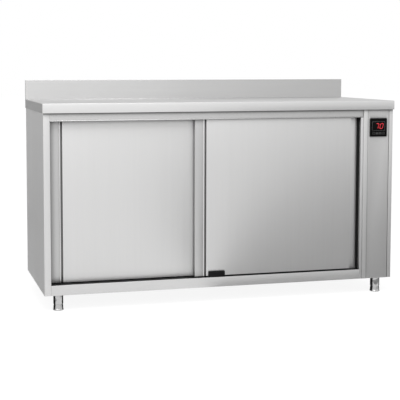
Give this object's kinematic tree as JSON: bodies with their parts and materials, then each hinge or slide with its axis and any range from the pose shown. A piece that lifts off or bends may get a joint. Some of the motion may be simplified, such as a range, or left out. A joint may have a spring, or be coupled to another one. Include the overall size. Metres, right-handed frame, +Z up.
{
  "type": "plate warmer cabinet",
  "caption": "Stainless heated counter for plates: worktop with rear upstand, sliding doors over a shelved cavity, service column with fan, heater and digital controller, adjustable legs.",
  "frame": {"origin": "on the floor, under the middle of the bounding box", "axes": "+Z up, doors face -Y, the service column is at +X"},
  "size_m": [1.6, 0.6, 0.97],
  "materials": {
    "satin_steel": "satin stainless sheet",
    "inner_steel": "satin stainless sheet, inside",
    "galvanised": "galvanised sheet",
    "polished_steel": "polished stainless tube",
    "board": "laminated board",
    "mineral_wool": "mineral wool",
    "track_aluminium": "extruded",
    "black_plastic": "moulded",
    "white_plastic": "moulded",
    "black_rubber": "extruded",
    "black_gloss": "polished",
    "heater_tube": "annealed heating tube"
  },
  "bodies": {
    "cabinet": {"worktop": "satin_steel", "worktop_core": "board", "side_panel_left": "satin_steel", "side_panel_right": "satin_steel", "back_panel": "galvanised", "base_pan": "galvanised", "left_stile": "satin_steel", "right_stile": "satin_steel", "top_rail": "satin_steel", "bottom_rail": "satin_steel", "right_jamb": "satin_steel", "stop_post": "inner_steel", "jamb_buffer": "black_rubber", "column_trim": "satin_steel", "column_panel": "satin_steel", "left_liner": "inner_steel", "right_liner": "inner_steel", "back_liner": "inner_steel", "ceiling_liner": "inner_steel", "floor_liner": "inner_steel", "header_rail": "inner_steel", "insulation": "mineral_wool", "column_plate": "galvanised", "door_track": "track_aluminium", "bottom_guide": "black_plastic", "centre_guide": "black_plastic", "shelf_uprights": "inner_steel", "shelf_clips": "inner_steel", "air_grilles": "inner_steel", "fan_frame": "black_plastic", "fan_motor": "black_plastic", "heater_element": "heater_tube", "safety_thermostat": "white_plastic", "terminal_block": "white_plastic", "cable_gland": "black_plastic", "controller_housing": "white_plastic", "controller_bezel": "black_gloss", "controller_glass": "black_gloss", "leg_tubes": "polished_steel", "screws": "galvanised"},
    "left_door": {"left_door_grip": "satin_steel", "left_door_groove": "satin_steel", "left_door_pan": "satin_steel", "left_door_core": "mineral_wool", "left_door_hangers": "galvanised"},
    "left_door_roller_a": {"left_door_roller_a": "white_plastic"},
    "left_door_roller_b": {"left_door_roller_b": "white_plastic"},
    "right_door": {"right_door_grip": "satin_steel", "right_door_groove": "satin_steel", "right_door_pan": "satin_steel", "right_door_core": "mineral_wool", "right_door_hangers": "galvanised"},
    "right_door_roller_a": {"right_door_roller_a": "white_plastic"},
    "right_door_roller_b": {"right_door_roller_b": "white_plastic"},
    "foot_front_left": {"foot_front_left": "polished_steel"},
    "foot_front_right": {"foot_front_right": "polished_steel"},
    "foot_back_left": {"foot_back_left": "polished_steel"},
    "foot_back_right": {"foot_back_right": "polished_steel"},
    "shelf": {"shelf": "inner_steel"},
    "fan_impeller": {"fan_impeller": "black_plastic"}
  },
  "joints": [
    {"name": "left_door_slide", "type": "slide", "parent": "cabinet", "child": "left_door", "axis": [1, 0, 0], "range_m": [0, 0.6]},
    {"name": "right_door_slide", "type": "slide", "parent": "cabinet", "child": "right_door", "axis": [1, 0, 0], "range_m": [-0.62, 0]},
    {"name": "left_roller_a_turn", "type": "hinge", "parent": "left_door", "child": "left_door_roller_a", "pos_m": [-0.694, -0.252, 0.8343], "axis": [0, 1, 0], "range_deg": [0, 3824.7]},
    {"name": "left_roller_b_turn", "type": "hinge", "parent": "left_door", "child": "left_door_roller_b", "pos_m": [-0.102, -0.252, 0.8343], "axis": [0, 1, 0], "range_deg": [0, 3824.7]},
    {"name": "right_roller_a_turn", "type": "hinge", "parent": "right_door", "child": "right_door_roller_a", "pos_m": [-0.066, -0.274, 0.8343], "axis": [0, 1, 0], "range_deg": [-3952, 0]},
    {"name": "right_roller_b_turn", "type": "hinge", "parent": "right_door", "child": "right_door_roller_b", "pos_m": [0.526, -0.274, 0.8343], "axis": [0, 1, 0], "range_deg": [-3952, 0]},
    {"name": "shelf_lift", "type": "slide", "parent": "cabinet", "child": "shelf", "axis": [0, 0, 1], "range_m": [0, 0.012]},
    {"name": "fan_spin", "type": "hinge", "parent": "cabinet", "child": "fan_impeller", "pos_m": [0.6805, 0.04, 0.301], "axis": [1, 0, 0], "continuous": true},
    {"name": "foot_front_left_screw_out", "type": "slide", "parent": "cabinet", "child": "foot_front_left", "axis": [0, 0, -1], "range_m": [0, 0.025]},
    {"name": "foot_front_right_screw_out", "type": "slide", "parent": "cabinet", "child": "foot_front_right", "axis": [0, 0, -1], "range_m": [0, 0.025]},
    {"name": "foot_back_left_screw_out", "type": "slide", "parent": "cabinet", "child": "foot_back_left", "axis": [0, 0, -1], "range_m": [0, 0.025]},
    {"name": "foot_back_right_screw_out", "type": "slide", "parent": "cabinet", "child": "foot_back_right", "axis": [0, 0, -1], "range_m": [0, 0.025]}
  ],
  "couplings": [
    {"joint": "left_roller_a_turn", "follows": "left_door_slide", "rad_per_m": 111.11},
    {"joint": "left_roller_b_turn", "follows": "left_door_slide", "rad_per_m": 111.11},
    {"joint": "right_roller_a_turn", "follows": "right_door_slide", "rad_per_m": 111.11},
    {"joint": "right_roller_b_turn", "follows": "right_door_slide", "rad_per_m": 111.11}
  ]
}
